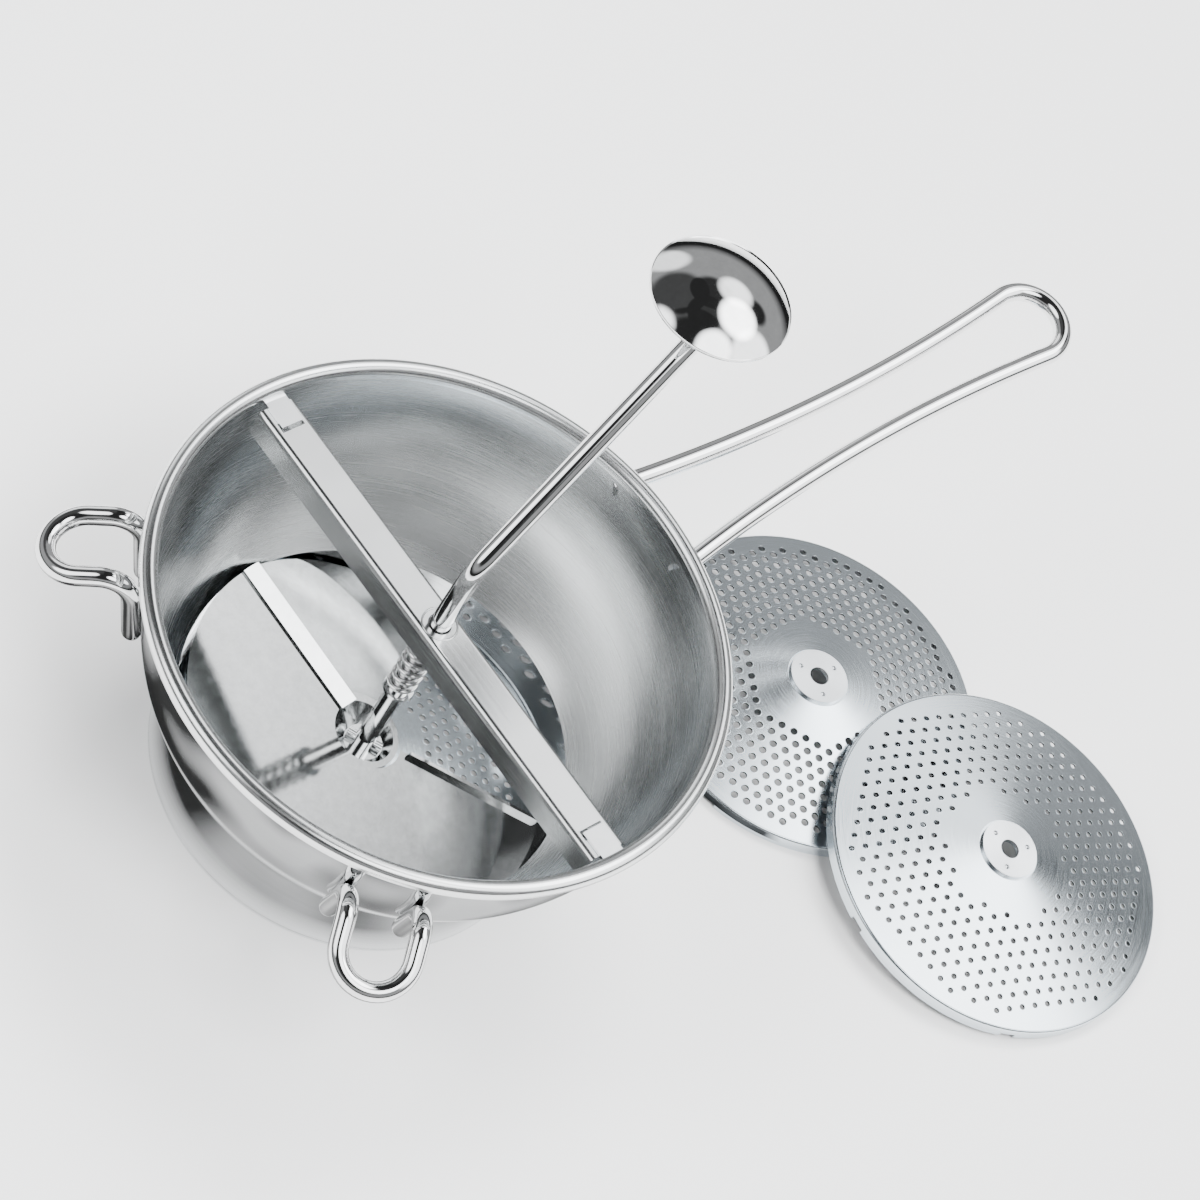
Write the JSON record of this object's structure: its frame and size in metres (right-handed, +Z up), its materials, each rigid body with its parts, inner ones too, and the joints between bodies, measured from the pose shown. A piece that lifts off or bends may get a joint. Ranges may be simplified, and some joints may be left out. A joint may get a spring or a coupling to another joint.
{
  "type": "food mill",
  "caption": "Hand-cranked stainless food mill: flared bowl, wire handle and rests, sprung crossbar, bladed crank rotor, domed knob, fitted and spare perforated discs.",
  "frame": {"origin": "on the bowl's axis, in the plane of the collar's lower face, which is the bench", "axes": "+Z up along the bowl and shaft axis, +X out along the long handle, Y along the crossbar"},
  "size_m": [0.4669, 0.3684, 0.2615],
  "materials": {
    "brushed_bowl": "satin brushed round the inside, polished outside",
    "polished_collar": "polished",
    "polished_rim": "satin to polished",
    "polished_wire": "mirror polished",
    "pressed_bar": "polished",
    "disc_sheet": "bright, slightly blue",
    "disc_washer": "satin",
    "spring_wire": "bright drawn wire",
    "small_steel": "bright",
    "mirror_blade": "mirror",
    "mirror_knob": "mirror"
  },
  "bodies": {
    "bowl": {"bowl_shell": "brushed_bowl", "rim_flange": "polished_rim", "collar": "polished_collar", "ledge_ring": "polished_collar", "long_handle": "polished_wire", "rest_left": "polished_wire", "rest_right": "polished_wire", "latch_lugs": "pressed_bar", "fitted_disc": "disc_sheet", "fitted_hub": "disc_washer"},
    "crossbar": {"crossbar": "pressed_bar", "spring": "spring_wire"},
    "rotor": {"crank_rod": "polished_wire", "spring_seat": "small_steel", "cross_pin": "small_steel", "blade": "mirror_blade", "blade_lip": "mirror_blade", "knob_pin": "small_steel"},
    "knob": {"knob_dome": "mirror_knob", "knob_core": "mirror_knob", "knob_washer": "small_steel"},
    "coarse_spare": {"coarse_disc": "disc_sheet", "coarse_hub": "disc_washer"},
    "fine_spare": {"fine_disc": "disc_sheet", "fine_hub": "disc_washer"}
  },
  "joints": [
    {"name": "crossbar_press", "type": "slide", "parent": "bowl", "child": "crossbar", "axis": [0, 0, -1], "range_m": [0, 0.006], "stiffness_N_per_m": 2500, "springref_m": -0.01, "deforming": ["spring"]},
    {"name": "rotor_turn", "type": "hinge", "parent": "bowl", "child": "rotor", "pos_m": [0, 0, 0.06], "axis": [0, 0, 1], "continuous": true},
    {"name": "knob_spin", "type": "hinge", "parent": "rotor", "child": "knob", "pos_m": [0.08999, 0.01913, 0.23], "axis": [0, 0, 1], "continuous": true},
    {"name": "coarse_spare_lift", "type": "slide", "parent": "bowl", "child": "coarse_spare", "axis": [0, 0, 1], "range_m": [0, 0.06]},
    {"name": "fine_spare_lift", "type": "slide", "parent": "coarse_spare", "child": "fine_spare", "axis": [0, 0, 1], "range_m": [0, 0.06]}
  ]
}
